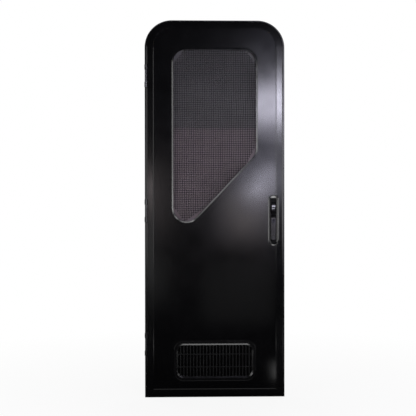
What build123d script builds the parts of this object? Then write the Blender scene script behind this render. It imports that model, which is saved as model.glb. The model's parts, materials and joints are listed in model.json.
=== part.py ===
from build123d import *
from math import hypot, radians, tan
import os

# Caravan entry door in its jamb, in millimetres. X runs across the door, Y into the vehicle
# and Z up. The origin is the middle of the flange's lower edge, on the face that meets the wall.

# Wall cut-out that the door is made for
CUTOUT_WIDTH = 622.0
CUTOUT_HEIGHT = 1750.0
FIT_GAP = 1.0            # cut-out to jamb, each side

# Jamb: flange, wall through the cut-out, and the stop that the leaf closes against
FLANGE_LAP = 21.5        # flange beyond the cut-out
FLANGE_THICK = 3.0
FLANGE_BEVEL = 1.5
HEAD_RADIUS = 129.0      # flange's outer corners at the head
JAMB_WALL = 3.0
STOP_REACH = 15.5
STOP_THICK = 3.0
JAMB_TAIL = 15.0         # jamb wall behind the stop
SEAL_WIDTH = 9.0
SEAL_LEAF_GAP = 0.5
SEAL_BEVEL = 2.0
SCREW_RADIUS = 2.25
SCREW_FROM_END = 196.5   # fixing holes from the flange's ends

# Leaf: hollow frame with an overlapping lip, filled by a foam panel between two skins
EDGE_MARGIN = 8.0        # flange left showing round the leaf
FACE_GAP = 6.5           # flange to the lip's back
LIP_THICK = 6.0
LIP_FALL = 2.0           # slope of the lip's face, from its inner to its outer edge
LIP_BEVEL = 4.5
LIP_BEVEL_FALL = 2.2
RUN_GAP = 8.0            # jamb wall to leaf body
FRAME_WALL = 4.5
GROOVE_WIDTH = 2.0       # groove between the lip and the outer skin
BODY_DEPTH = 34.5        # lip's back to the leaf's back
STOP_GAP = 5.0           # leaf's back to the stop
SKIN_THICK = 1.5
SKIN_BEVEL = 2.8         # sloped border of the outer skin
SKIN_BEVEL_FALL = 1.3
LOCK_BLOCK_MARGIN = 20.0 # foam block beyond the lock's ends

# Hinges
HINGE_FROM_FOOT = 255.0
HINGE_FROM_HEAD = 265.0
HINGE_MIDDLE_DROP = 3.5  # middle hinge below halfway between the others
HINGE_LENGTH = 106.0
HINGE_INSET = 6.0        # barrel axis from the flange's edge
HINGE_SETBACK = 2.5      # barrel axis behind the leaf's face
KNUCKLE_LENGTH = 23.0
KNUCKLE_RADIUS = 7.0
MIDDLE_RADIUS = 5.2
KNUCKLE_GAP = 0.4
PIN_RADIUS = 2.5
PIN_PLAY = 0.08
PIN_SIDES = 16           # pins and barrels are drawn as prisms
HINGE_PLATE = 1.5
STRAP_LENGTH = 17.5
NOTCH_GAP = 2.5

# Window
WINDOW_WIDTH = 408.0
WINDOW_HEAD_DROP = 132.0     # flange's upper edge to the window's head
WINDOW_LOCK_SIDE = 506.0     # head to the upper end of the slope, before rounding
WINDOW_HINGE_SIDE = 936.0    # head to the lower end of the slope, before rounding
WINDOW_HEAD_RADIUS = 68.0
WINDOW_SLOPE_RADIUS = 80.0
WINDOW_FOOT_RADIUS = 70.0
RIM_WIDTH = 8.0
RIM_THICK = 3.6
RIM_SLOPE = 7.0              # sloped outer part of the rim's face
RIM_SLOPE_FALL = 3.2
RIM_LAP = 3.5                # rim over the skin
LINER_WALL = 2.2
MESH_THICK = 1.2             # two layers of wire
MESH_WIRE = 2.0
MESH_WIRE_PITCH = 96.0       # one wire in nine is drawn, each way
PANE_THICK = 4.0
PANE_SETBACK = 21.5          # leaf's face to the pane
PLAY = 0.3

# Vent
VENT_WIDTH = 392.0
VENT_HEIGHT = 191.0
VENT_FOOT = 80.5
VENT_RADIUS = 48.0
VENT_LIP = 11.0
VENT_LIP_THICK = 3.0
VENT_GROOVE = 2.0
VENT_GROOVE_DEEP = 1.2
VENT_BRIDGES = (-80.0, 0.0, 80.0)   # places where the foot's groove is filled
VENT_BRIDGE_WIDTH = 22.0
VENT_LIP_BEVEL = 1.4
VENT_RIDGE = 3.0
VENT_RIDGE_STAND = 1.5
VENT_SLOPE = 7.0
VENT_SLOPE_DEEP = 4.0
VENT_LINER_WALL = 2.5
VENT_LINER_DEEP = 4.0
BAR_PITCH = 15.55
INNER_BAR_PITCH = 31.1
BAR_WIDTH = 5.0
BAR_DEEP = 7.0
RAIL_WIDTH = 4.0
RAIL_DEEP = 4.0
RAIL_SPACING = 60.5
FLY_MESH_THICK = 0.8

# Flush lock
LOCK_INSET = 53.5
LOCK_Z = 843.5
LOCK_HEIGHT = 241.0
LOCK_WIDTH = 52.0
LOCK_STAND = 4.0
LOCK_BEVEL = 4.5
LOCK_BEVEL_FALL = 2.2
PAN_WIDTH = 29.0
PAN_WALL = 1.5
PAN_FLOOR = 2.0
PAN_DEEP = 17.5
PAN_CHAMFER = 6.0
SCOOP_FOOT = 105.0       # heights in the lock are from its centre
SCOOP_WIDTH = 42.0
SCOOP_TILT = 30.0        # degrees that the scoop's slope faces down
SPINE_WIDTH = 22.0
SPINE_TOP = 12.0
SPINE_SETBACK = 1.0      # behind the leaf's face
KEY_HEIGHT = -4.5
KEY_RADIUS = 10.0
KEY_COLLAR = 2.5
KEY_PLAY = 0.08
KEY_STAND = 1.0
KEY_SLOT_WIDTH = 2.4
KEY_SLOT_LENGTH = 9.0
KEY_SLOT_DEEP = 8.0
BOSS_HEIGHT = -84.0
BOSS_RADIUS = 12.5
BOSS_RECESS_RADIUS = 8.0
BOSS_RECESS_DEEP = 2.0
PADDLE_FOOT = 22.0
PADDLE_HEAD = 85.0
PADDLE_CROWN_HEIGHT = 60.0
PADDLE_SIDE_GAP = 5.0
PADDLE_PIVOT = 28.0
PADDLE_PIVOT_DEEP = 5.5  # pivot behind the leaf's face
PADDLE_FOOT_FACE = 0.5   # face set back at the foot
PADDLE_CROWN = 3.0       # face stands out at the crown
PADDLE_HEAD_FACE = 2.5   # face set back at the head
PADDLE_FOOT_BACK = 9.0
PADDLE_HEAD_BACK = 6.5
PADDLE_BEVEL = 1.5
PADDLE_PIN_RADIUS = 2.0

# Latch on the leaf's edge, and its keepers on the jamb
LATCH_FROM_FOOT = 300.0
LATCH_FROM_HEAD = 343.0
LATCH_PLATE_LENGTH = 110.0
LATCH_PLATE_WIDTH = 16.0
LATCH_PLATE_THICK = 1.5
LATCH_PLATE_BACKSET = 2.5    # plate's edge to the leaf's back
BOLT_LENGTH = 32.0
BOLT_WIDTH = 11.0

# Inside furniture
HANDLE_INSET = 76.5
HANDLE_PLATE_LENGTH = 190.0
HANDLE_PLATE_WIDTH = 40.0
HANDLE_PLATE_THICK = 4.0
HANDLE_PLATE_BEVEL = 1.2
LEVER_HEIGHT = 30.0
LEVER_REACH = 105.0
LEVER_THICK = 9.0
LEVER_STANDOFF = 20.0
LEVER_HUB_RADIUS = 11.0
LEVER_TIP_RADIUS = 7.0
LEVER_NECK_RADIUS = 8.0
LEVER_BEVEL = 2.5
SNIB_HEIGHT = -50.0
SNIB_RADIUS = 10.0
SNIB_STAND = 4.0
SNIB_GRIP_WIDTH = 5.0
SNIB_GRIP_STAND = 9.0

# Insets are measured inwards from the flange's edge, depths along Y from the wall's face
FLANGE_WIDTH = CUTOUT_WIDTH + 2 * FLANGE_LAP
FLANGE_HEIGHT = CUTOUT_HEIGHT + 2 * FLANGE_LAP
HALF_WIDTH = FLANGE_WIDTH / 2
JAMB_OUTSIDE = FLANGE_LAP + FIT_GAP
JAMB_INSIDE = JAMB_OUTSIDE + JAMB_WALL
STOP_INSET = JAMB_INSIDE + STOP_REACH
BODY_INSET = JAMB_INSIDE + RUN_GAP
LIP_INSET = BODY_INSET + FRAME_WALL
PANEL_INSET = LIP_INSET + GROOVE_WIDTH
LIP_BACK_Y = -FLANGE_THICK - FACE_GAP
FACE_Y = LIP_BACK_Y - LIP_THICK
LEAF_BACK_Y = LIP_BACK_Y + BODY_DEPTH
STOP_Y = LEAF_BACK_Y + STOP_GAP
JAMB_BACK_Y = STOP_Y + STOP_THICK + JAMB_TAIL
HEAD_SPRING = FLANGE_HEIGHT - HEAD_RADIUS
WINDOW_HEAD = FLANGE_HEIGHT - WINDOW_HEAD_DROP
LOCK_X = HALF_WIDTH - LOCK_INSET
HANDLE_X = HALF_WIDTH - HANDLE_INSET
LATCH_HEIGHTS = (LATCH_FROM_FOOT, LOCK_Z, FLANGE_HEIGHT - LATCH_FROM_HEAD)
UPPER_HINGE = FLANGE_HEIGHT - HINGE_FROM_HEAD
MIDDLE_HINGE = (HINGE_FROM_FOOT + UPPER_HINGE) / 2 - HINGE_MIDDLE_DROP
HINGE_HEIGHTS = (HINGE_FROM_FOOT, MIDDLE_HINGE, UPPER_HINGE)
HINGE_X = HINGE_INSET - HALF_WIDTH
HINGE_Y = FACE_Y + HINGE_SETBACK
NOTCH_INSET = HINGE_INSET + KNUCKLE_RADIUS + NOTCH_GAP
PANE_Y = FACE_Y + PANE_SETBACK
LINER_INSET = RIM_LAP + PLAY
MESH_INSET = LINER_INSET + LINER_WALL + PLAY
VENT_OPENING = VENT_LIP + VENT_RIDGE + VENT_SLOPE
VENT_LINER = VENT_OPENING - VENT_LINER_WALL
GRILLE_Y = FACE_Y + VENT_LINER_DEEP
PAN_FLOOR_Y = FACE_Y + PAN_DEEP
SPINE_Y = FACE_Y + SPINE_SETBACK
PADDLE_PIVOT_Y = FACE_Y + PADDLE_PIVOT_DEEP
LATCH_PLATE_Y = LEAF_BACK_Y - LATCH_PLATE_BACKSET - LATCH_PLATE_WIDTH / 2
HANDLE_FACE_Y = LEAF_BACK_Y + HANDLE_PLATE_THICK


def slab(outline, front, back):
    """A flat outline, drawn across X and up Z, given thickness from front to back."""
    behind = Plane(origin=(0, back, 0), x_dir=(1, 0, 0), z_dir=(0, -1, 0))
    return extrude(behind * outline, amount=back - front)


def block(x, y, z):
    """A box between pairs of limits along X, Y and Z."""
    size = Box(x[1] - x[0], y[1] - y[0], z[1] - z[0])
    return Pos((x[0] + x[1]) / 2, (y[0] + y[1]) / 2, (z[0] + z[1]) / 2) * size


def region(low, high):
    """A plain rectangle between two corners."""
    middle = Pos((low[0] + high[0]) / 2, (low[1] + high[1]) / 2)
    return middle * Rectangle(high[0] - low[0], high[1] - low[1])


def half_limits(middle, length):
    return middle - length / 2, middle + length / 2


def spread(span, pitch):
    """Places a pitch apart, as many as fit in a span, either side of its middle."""
    count = int(span / pitch)
    return [pitch * (index - (count - 1) / 2) for index in range(count)]


def front_face(solid):
    return solid.faces().sort_by(Axis.Y)[0]


def back_face(solid):
    return solid.faces().sort_by(Axis.Y)[-1]


def arch(inset):
    """The door's outline: square at the foot, rounded at the head."""
    side = HALF_WIDTH - inset
    head = FLANGE_HEIGHT - inset
    corners = ((-side, inset), (-side, head), (side, head), (side, inset))
    bend = HEAD_RADIUS - inset
    return make_face(FilletPolyline(*corners, radius=(0, bend, bend, 0), close=True))


def window_corners(inset):
    """Corners of the window before rounding: head, then the two ends of its sloped foot."""
    side = WINDOW_WIDTH / 2 - inset
    slope = (WINDOW_HINGE_SIDE - WINDOW_LOCK_SIDE) / WINDOW_WIDTH
    lift = inset * hypot(1, slope)
    lock_side = WINDOW_HEAD - WINDOW_LOCK_SIDE - slope * inset + lift
    hinge_side = WINDOW_HEAD - WINDOW_HINGE_SIDE + slope * inset + lift
    head = WINDOW_HEAD - inset
    return (-side, head), (side, head), (side, lock_side), (-side, hinge_side)


def window(inset):
    """The window's outline: tall, with its lower corner on the lock side cut on a slope."""
    radii = (WINDOW_HEAD_RADIUS, WINDOW_HEAD_RADIUS, WINDOW_SLOPE_RADIUS, WINDOW_FOOT_RADIUS)
    corners = window_corners(inset)
    return make_face(FilletPolyline(*corners, radius=[r - inset for r in radii], close=True))


def vent(inset):
    """The vent's rounded outline."""
    outline = RectangleRounded(VENT_WIDTH - 2 * inset, VENT_HEIGHT - 2 * inset, VENT_RADIUS - inset)
    return Pos(0, VENT_FOOT + VENT_HEIGHT / 2) * outline


def lock(width):
    """An upright slot with the lock's centre, as far inside its rim all round."""
    length = LOCK_HEIGHT - LOCK_WIDTH + width
    return Pos(LOCK_X, LOCK_Z) * SlotOverall(length, width, rotation=90)


def lock_disc(height, radius):
    return Pos(LOCK_X, LOCK_Z + height) * Circle(radius)


def below_mitres():
    """Everything below the 45 degree joints between the stiles and the foot rail."""
    reach = 2 * STOP_INSET
    low = HALF_WIDTH + reach
    high = HALF_WIDTH - reach
    outline = make_face(Polyline((-low, -reach), (low, -reach), (high, reach), (-high, reach), close=True))
    return slab(outline, FACE_Y - reach, JAMB_BACK_Y + reach)


def stiles(section):
    """The two upright lengths of a frame, mitred at the foot. A section is drawn as inset and depth."""
    stile = extrude(Pos(-HALF_WIDTH, 0, 0) * section, amount=HEAD_SPRING) - below_mitres()
    return stile + mirror(stile, about=Plane.YZ)


def head_bend(section):
    """The length over the head, bent round both corners."""
    arc_end = HALF_WIDTH - HEAD_RADIUS
    rise = TangentArc((-HALF_WIDTH, 0, HEAD_SPRING), (-arc_end, 0, FLANGE_HEIGHT), tangent=(0, 0, 1))
    over = Line((-arc_end, 0, FLANGE_HEIGHT), (arc_end, 0, FLANGE_HEIGHT))
    fall = TangentArc((arc_end, 0, FLANGE_HEIGHT), (HALF_WIDTH, 0, HEAD_SPRING), tangent=(1, 0, 0))
    return sweep(Pos(-HALF_WIDTH, 0, HEAD_SPRING) * section, path=Wire([rise, over, fall]))


def foot_rail(section):
    """The length along the foot, mitred to the stiles."""
    across = Plane(origin=(HALF_WIDTH, 0, 0), x_dir=(0, 0, 1), z_dir=(-1, 0, 0))
    return extrude(across * section, amount=FLANGE_WIDTH) & below_mitres()


def flange_section():
    corners = ((0, 0), (0, FLANGE_BEVEL - FLANGE_THICK), (FLANGE_BEVEL, -FLANGE_THICK),
               (JAMB_INSIDE, -FLANGE_THICK), (JAMB_INSIDE, 0))
    return make_face(Polyline(*corners, close=True))


def jamb_wall_section():
    return region((JAMB_OUTSIDE, 0), (JAMB_INSIDE, JAMB_BACK_Y))


def stop_section():
    return region((JAMB_INSIDE, STOP_Y), (STOP_INSET, STOP_Y + STOP_THICK))


def lip_section():
    """Overlapping lip of the leaf's frame, with the groove beside the outer skin."""
    lip_y = FACE_Y + LIP_FALL
    groove_y = FACE_Y + SKIN_THICK
    bevel_end = EDGE_MARGIN + LIP_BEVEL
    edge = ((EDGE_MARGIN, LIP_BACK_Y), (EDGE_MARGIN, lip_y + LIP_BEVEL_FALL), (bevel_end, lip_y))
    groove = ((LIP_INSET, FACE_Y), (LIP_INSET, groove_y), (PANEL_INSET, groove_y), (PANEL_INSET, LIP_BACK_Y))
    corners = edge + groove
    return make_face(Polyline(*corners, close=True))


def leaf_wall_section():
    return region((BODY_INSET, LIP_BACK_Y), (PANEL_INSET, LEAF_BACK_Y))


def screw_holes():
    """Fixing holes through both stiles of the jamb, behind the stop."""
    drill = Rot(0, 90, 0) * Cylinder(SCREW_RADIUS, 2 * FLANGE_WIDTH)
    level = Pos(0, JAMB_BACK_Y - JAMB_TAIL / 2, 0) * drill
    return at_heights(level, (SCREW_FROM_END, FLANGE_HEIGHT - SCREW_FROM_END))


def jamb():
    """The jamb's pieces by name. Its stiles are drawn as their flange, wall and stop."""
    section = flange_section() + jamb_wall_section() + stop_section()
    return {
        "jamb_flange_stiles": stiles(flange_section()),
        "jamb_wall_stiles": stiles(jamb_wall_section()) - screw_holes(),
        "jamb_stop_stiles": stiles(stop_section()),
        "jamb_head": head_bend(section),
        "jamb_sill": foot_rail(section),
    }


def door_seal():
    """Soft bulb on the stop, all round the opening."""
    outer = JAMB_INSIDE + (STOP_REACH - SEAL_WIDTH) / 2
    bulb = slab(arch(outer) - arch(outer + SEAL_WIDTH), LEAF_BACK_Y + SEAL_LEAF_GAP, STOP_Y)
    return chamfer(front_face(bulb).edges(), SEAL_BEVEL)


def edge_plate(x, slot_play):
    """A latch plate or keeper against a stile, with the slot for its bolt."""
    plate = block(x, half_limits(LATCH_PLATE_Y, LATCH_PLATE_WIDTH), half_limits(0, LATCH_PLATE_LENGTH))
    slot_y = half_limits(LATCH_PLATE_Y, BOLT_WIDTH + slot_play)
    return plate - block(x, slot_y, half_limits(0, BOLT_LENGTH + slot_play))


def at_heights(piece, heights):
    """Copies of a piece, one at each height."""
    return Part() + [Pos(0, 0, height) * piece for height in heights]


def keeper_plates():
    wall = HALF_WIDTH - JAMB_INSIDE
    return at_heights(edge_plate((wall - LATCH_PLATE_THICK, wall), 2 * PLAY), LATCH_HEIGHTS)


def latch_plates():
    edge = HALF_WIDTH - BODY_INSET
    return at_heights(edge_plate((edge - LATCH_PLATE_THICK, edge), 2 * PLAY), LATCH_HEIGHTS)


def latch_bolts():
    """Spring bolts, drawn back level with their plates."""
    edge = HALF_WIDTH - BODY_INSET
    wall = HALF_WIDTH - PANEL_INSET
    bolt = block((wall, edge), half_limits(LATCH_PLATE_Y, BOLT_WIDTH), half_limits(0, BOLT_LENGTH))
    return at_heights(bolt, LATCH_HEIGHTS)


def latch_pockets():
    """Room in the frame's wall for the latch plates and their bolts."""
    edge = HALF_WIDTH - BODY_INSET
    bolt_room = 2 * PLAY
    plate = block((edge - LATCH_PLATE_THICK, edge), half_limits(LATCH_PLATE_Y, LATCH_PLATE_WIDTH),
                  half_limits(0, LATCH_PLATE_LENGTH))
    bolt = block((HALF_WIDTH - PANEL_INSET, edge), half_limits(LATCH_PLATE_Y, BOLT_WIDTH + bolt_room),
                 half_limits(0, BOLT_LENGTH + bolt_room))
    return at_heights(plate + bolt, LATCH_HEIGHTS)


def hinge_notches():
    """Room in the lip for the hinge barrels."""
    length = HINGE_LENGTH + 2 * NOTCH_GAP
    x = (-HALF_WIDTH, NOTCH_INSET - HALF_WIDTH)
    notch = block(x, (FACE_Y, LIP_BACK_Y), half_limits(0, length))
    return at_heights(notch, HINGE_HEIGHTS)


def pin_outline(radius):
    """A pin or barrel drawn with few sides, whose corners lie at its radius."""
    return RegularPolygon(radius, PIN_SIDES)


def bore_outline(radius):
    """A hole for such a pin to turn in, whose flats clear the pin's corners."""
    return RegularPolygon(radius + PIN_PLAY, PIN_SIDES, major_radius=False)


def lock_hole():
    """Hole for the lock's pan, through the skin, the frame and into the core."""
    return slab(lock(PAN_WIDTH + 2 * PAN_WALL + 2 * PLAY), FACE_Y, PAN_FLOOR_Y + PAN_FLOOR)


def leaf_frame():
    """The leaf frame's pieces by name. Its stiles are drawn as their lip and wall."""
    section = lip_section() + leaf_wall_section()
    return {
        "leaf_lip_stiles": stiles(lip_section()) - hinge_notches() - lock_hole(),
        "leaf_wall_stiles": stiles(leaf_wall_section()) - lock_hole() - latch_pockets(),
        "leaf_head": head_bend(section),
        "leaf_bottom_rail": foot_rail(section),
    }


def vent_cutout():
    """Plain hole through the panel for the vent, which the vent's lip covers."""
    box = vent(VENT_LINER - PLAY).bounding_box()
    return region((box.min.X, box.min.Y), (box.max.X, box.max.Y))


def skin(front, back):
    """A skin of the panel, with its window and vent openings."""
    return slab(arch(PANEL_INSET) - window(RIM_LAP) - vent_cutout(), front, back)


def outer_skin():
    """The skin that shows, with a sloped border beside the frame's groove."""
    sheet = skin(FACE_Y, FACE_Y + SKIN_THICK)
    face = front_face(sheet)
    sheet = chamfer(face.outer_wire().edges(), SKIN_BEVEL, SKIN_BEVEL_FALL, reference=face)
    return sheet - lock_hole()


def core_layout():
    """Outlines of the foam blocks that fill the panel round its window and vent."""
    hinge_head, lock_head, slope_head, slope_foot = window_corners(RIM_LAP)
    edge = HALF_WIDTH - PANEL_INSET
    foot = PANEL_INSET
    window_foot = window(RIM_LAP).bounding_box().min.Y
    slope = (slope_head[1] - slope_foot[1]) / (slope_head[0] - slope_foot[0])
    slope_end = slope_foot[0] + (window_foot - slope_foot[1]) / slope
    wedge = make_face(Polyline((slope_end, window_foot), (lock_head[0], window_foot), slope_head, close=True))
    block_low, block_high = half_limits(LOCK_Z, LOCK_HEIGHT + 2 * LOCK_BLOCK_MARGIN)
    return {
        "core_head": arch(PANEL_INSET) & region((-edge, hinge_head[1]), (edge, FLANGE_HEIGHT)),
        "core_hinge_side": region((-edge, window_foot), hinge_head),
        "core_lock_foot": region((lock_head[0], foot), (edge, block_low)),
        "core_lock_block": region((lock_head[0], block_low), (edge, block_high)),
        "core_lock_head": region((lock_head[0], block_high), (edge, lock_head[1])),
        "core_slope": wedge,
        "core_lower": region((-edge, foot), (lock_head[0], window_foot)) - vent_cutout(),
    }


def core_blocks():
    """The foam blocks by name, with the lock's pan cut out of one of them."""
    front = FACE_Y + SKIN_THICK
    back = LEAF_BACK_Y - SKIN_THICK
    blocks = {name: slab(outline, front, back) for name, outline in core_layout().items()}
    blocks["core_lock_block"] -= lock_hole()
    return blocks


def window_rim(front, back):
    """Flat ring round the window, from the rim's outer edge to its sight line."""
    return slab(window(0) - window(RIM_WIDTH), front, back)


def window_liner(front, back):
    return slab(window(LINER_INSET) - window(LINER_INSET + LINER_WALL), front, back)


def window_bezel():
    """Raised rim on the outer skin, sloped outwards, with a liner that reaches back to the pane."""
    rim = window_rim(FACE_Y - RIM_THICK, FACE_Y)
    face = front_face(rim)
    rim = chamfer(face.outer_wire().edges(), RIM_SLOPE, RIM_SLOPE_FALL, reference=face)
    return rim + window_liner(FACE_Y, PANE_Y)


def window_mesh():
    """Insect mesh behind the rim: wires that run up and down, and wires that cross behind them."""
    outline = window(MESH_INSET)
    size = outline.bounding_box().size
    middle = outline.bounding_box().center().Y
    layer = MESH_THICK / 2
    wires = []
    for x in spread(size.X, MESH_WIRE_PITCH):
        upright = Pos(x, middle) * Rectangle(MESH_WIRE, size.Y)
        wires.append(slab(upright & outline, FACE_Y, FACE_Y + layer))
    for rise in spread(size.Y, MESH_WIRE_PITCH):
        level = Pos(0, middle + rise) * Rectangle(size.X, MESH_WIRE)
        wires.append(slab(level & outline, FACE_Y + layer, FACE_Y + MESH_THICK))
    return Compound(children=wires)


def window_inner_trim():
    """The rim's mate on the inner skin, which holds the pane."""
    rim = window_rim(LEAF_BACK_Y, LEAF_BACK_Y + RIM_THICK)
    return rim + window_liner(PANE_Y + PANE_THICK, LEAF_BACK_Y)


def vent_bezel():
    """Flat lip with a groove, and a ridge whose inner side slopes back to the grille."""
    lip = slab(vent(0) - vent(VENT_LIP), FACE_Y - VENT_LIP_THICK, FACE_Y)
    lip = chamfer(front_face(lip).outer_wire().edges(), VENT_LIP_BEVEL)
    groove_front = FACE_Y - VENT_LIP_THICK
    groove_back = groove_front + VENT_GROOVE_DEEP
    groove = slab(vent(VENT_LIP - VENT_GROOVE) - vent(VENT_LIP), groove_front, groove_back)
    for middle in VENT_BRIDGES:
        x = half_limits(middle, VENT_BRIDGE_WIDTH)
        groove -= block(x, (groove_front, FACE_Y), (VENT_FOOT, VENT_FOOT + VENT_LIP))
    ridge_front = groove_front - VENT_RIDGE_STAND
    ridge = slab(vent(VENT_LIP) - vent(VENT_OPENING), ridge_front, FACE_Y)
    ridge += slab(vent(VENT_LINER) - vent(VENT_OPENING), FACE_Y, GRILLE_Y + BAR_DEEP)
    top = front_face(ridge)
    ridge = chamfer(top.inner_wires()[0].edges(), VENT_SLOPE, VENT_SLOPE_DEEP, reference=top)
    return lip - groove + ridge


def vent_bars(front, pitch):
    """Upright bars across the vent's opening."""
    middle = VENT_FOOT + VENT_HEIGHT / 2
    bars = Sketch()
    for x in spread(VENT_WIDTH - 2 * VENT_OPENING, pitch):
        bars += Pos(x, middle) * Rectangle(BAR_WIDTH, VENT_HEIGHT)
    return slab(bars & vent(VENT_OPENING), front, front + BAR_DEEP)


def vent_grille():
    """The grille that shows: bars with two rails across them, level with their fronts."""
    rails = Sketch()
    for side in (-1, 1):
        middle = VENT_FOOT + VENT_HEIGHT / 2 + side * RAIL_SPACING / 2
        rails += Pos(0, middle) * Rectangle(VENT_WIDTH - 2 * VENT_OPENING, RAIL_WIDTH)
    return vent_bars(GRILLE_Y, BAR_PITCH) + slab(rails, GRILLE_Y, GRILLE_Y + RAIL_DEEP)


def vent_fly_mesh():
    behind = GRILLE_Y + BAR_DEEP
    return slab(vent(VENT_LINER), behind, behind + FLY_MESH_THICK)


def vent_inner_cover():
    """Flat cover on the inner skin, with bars set further apart."""
    lip = slab(vent(0) - vent(VENT_OPENING), LEAF_BACK_Y, LEAF_BACK_Y + VENT_LIP_THICK)
    return lip + vent_bars(LEAF_BACK_Y + VENT_LIP_THICK - BAR_DEEP, INNER_BAR_PITCH)


def lock_escutcheon():
    """Bevelled rim and deep pan, with the spine that carries the key barrel and the foot boss."""
    rim = slab(lock(LOCK_WIDTH) - lock(PAN_WIDTH), FACE_Y - LOCK_STAND, FACE_Y)
    rim += slab(lock(PAN_WIDTH + 2 * PAN_WALL) - lock(PAN_WIDTH), FACE_Y, PAN_FLOOR_Y)
    top = front_face(rim)
    rim = chamfer(top.inner_wires()[0].edges(), PAN_CHAMFER, LOCK_STAND, reference=top)
    face = front_face(rim)
    rim = chamfer(face.outer_wire().edges(), LOCK_BEVEL, LOCK_BEVEL_FALL, reference=face)
    floor = slab(lock(PAN_WIDTH + 2 * PAN_WALL), PAN_FLOOR_Y, PAN_FLOOR_Y + PAN_FLOOR)
    length = SPINE_TOP - BOSS_HEIGHT
    spine = Pos(LOCK_X, LOCK_Z + BOSS_HEIGHT + length / 2) * Rectangle(SPINE_WIDTH, length)
    boss = lock_disc(BOSS_HEIGHT, BOSS_RADIUS)
    body = slab(spine, SPINE_Y, PAN_FLOOR_Y) + slab(boss, SPINE_Y, PAN_FLOOR_Y)
    body += slab(lock_disc(KEY_HEIGHT, KEY_RADIUS + KEY_COLLAR), FACE_Y, PAN_FLOOR_Y)
    body -= slab(lock_disc(KEY_HEIGHT, KEY_RADIUS + KEY_PLAY), FACE_Y, PAN_FLOOR_Y)
    body -= slab(lock_disc(BOSS_HEIGHT, BOSS_RECESS_RADIUS), SPINE_Y, SPINE_Y + BOSS_RECESS_DEEP)
    return rim + floor + body + scoop_bed() - scoop_room()


def scoop_slope():
    """Ends of the scoop's slope as depth and height: at the rim's front above, in the pan's mouth below."""
    head = LOCK_Z + (LOCK_HEIGHT - LOCK_WIDTH + SCOOP_WIDTH) / 2
    foot = LOCK_Z + SCOOP_FOOT
    front = FACE_Y - LOCK_STAND
    return (front, head), (front + (head - foot) * tan(radians(SCOOP_TILT)), foot)


def scoop_bed():
    """What fills the pan's upper end behind the scoop that the finger tips slide down."""
    high, low = scoop_slope()
    side_view = make_face(Polyline(high, low, (PAN_FLOOR_Y, low[1]), (PAN_FLOOR_Y, high[1]), close=True))
    mouth = slab(lock(PAN_WIDTH + 2 * PAN_CHAMFER), FACE_Y - LOCK_STAND, FACE_Y)
    return across_lock(side_view, LOCK_WIDTH) & (mouth + slab(lock(PAN_WIDTH), FACE_Y, PAN_FLOOR_Y))


def scoop_room():
    """What the scoop takes off the rim's front."""
    high, low = scoop_slope()
    side_view = make_face(Polyline(high, low, (high[0], low[1]), close=True))
    return across_lock(side_view, LOCK_WIDTH) & slab(lock(SCOOP_WIDTH), high[0], low[0])


def across_lock(side_view, width):
    """A side view, drawn as depth and height, given its width across the lock."""
    upright = Plane(origin=(LOCK_X - width / 2, 0, 0), x_dir=(0, 1, 0), z_dir=(1, 0, 0))
    return extrude(upright * side_view, amount=width)


def key_barrel():
    """Lock cylinder with its key slot."""
    front = FACE_Y - KEY_STAND
    barrel = slab(lock_disc(KEY_HEIGHT, KEY_RADIUS), front, PAN_FLOOR_Y)
    slot = Pos(LOCK_X, LOCK_Z + KEY_HEIGHT) * Rectangle(KEY_SLOT_WIDTH, KEY_SLOT_LENGTH)
    return barrel - slab(slot, front, front + KEY_SLOT_DEEP)


def lock_paddle():
    """Crowned pull lever: drawn as its side view, then given its width."""
    head = (FACE_Y + PADDLE_HEAD_FACE, LOCK_Z + PADDLE_HEAD)
    foot = (FACE_Y + PADDLE_FOOT_FACE, LOCK_Z + PADDLE_FOOT)
    crown = (FACE_Y - PADDLE_CROWN, LOCK_Z + PADDLE_CROWN_HEIGHT)
    foot_back = (FACE_Y + PADDLE_FOOT_BACK, LOCK_Z + PADDLE_FOOT)
    head_back = (FACE_Y + PADDLE_HEAD_BACK, LOCK_Z + PADDLE_HEAD)
    side_view = make_face([ThreePointArc(foot, crown, head), Polyline(head, head_back, foot_back, foot)])
    side_view -= Pos(PADDLE_PIVOT_Y, LOCK_Z + PADDLE_PIVOT) * bore_outline(PADDLE_PIN_RADIUS)
    lever = across_lock(side_view, PAN_WIDTH - 2 * PADDLE_SIDE_GAP)
    arc_edges = lever.edges().filter_by(GeomType.CIRCLE).sort_by(SortBy.RADIUS)[-2:]
    return chamfer(arc_edges, PADDLE_BEVEL)


def paddle_pin():
    """Pin across the pan, from wall to wall."""
    return across_lock(Pos(PADDLE_PIVOT_Y, LOCK_Z + PADDLE_PIVOT) * pin_outline(PADDLE_PIN_RADIUS), PAN_WIDTH)


def hinge_prism(outline, length):
    """A round piece of the hinges, half above and half below its middle."""
    return Pos(HINGE_X, HINGE_Y) * extrude(outline, amount=length / 2, both=True)


def hinge_jamb_half():
    """Plate on the flange, with a knuckle at each end on a web. Both knuckles grip the pin."""
    half = KNUCKLE_RADIUS / 2
    plate_x = (HINGE_X - half, HINGE_X + half)
    plate = block(plate_x, (-FLANGE_THICK - HINGE_PLATE, -FLANGE_THICK), half_limits(0, HINGE_LENGTH))
    for side in (-1, 1):
        middle = side * (HINGE_LENGTH - KNUCKLE_LENGTH) / 2
        plate += Pos(0, 0, middle) * hinge_prism(pin_outline(KNUCKLE_RADIUS), KNUCKLE_LENGTH)
        plate += block(plate_x, (HINGE_Y, -FLANGE_THICK), half_limits(middle, KNUCKLE_LENGTH))
    return plate - hinge_pin()


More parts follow.
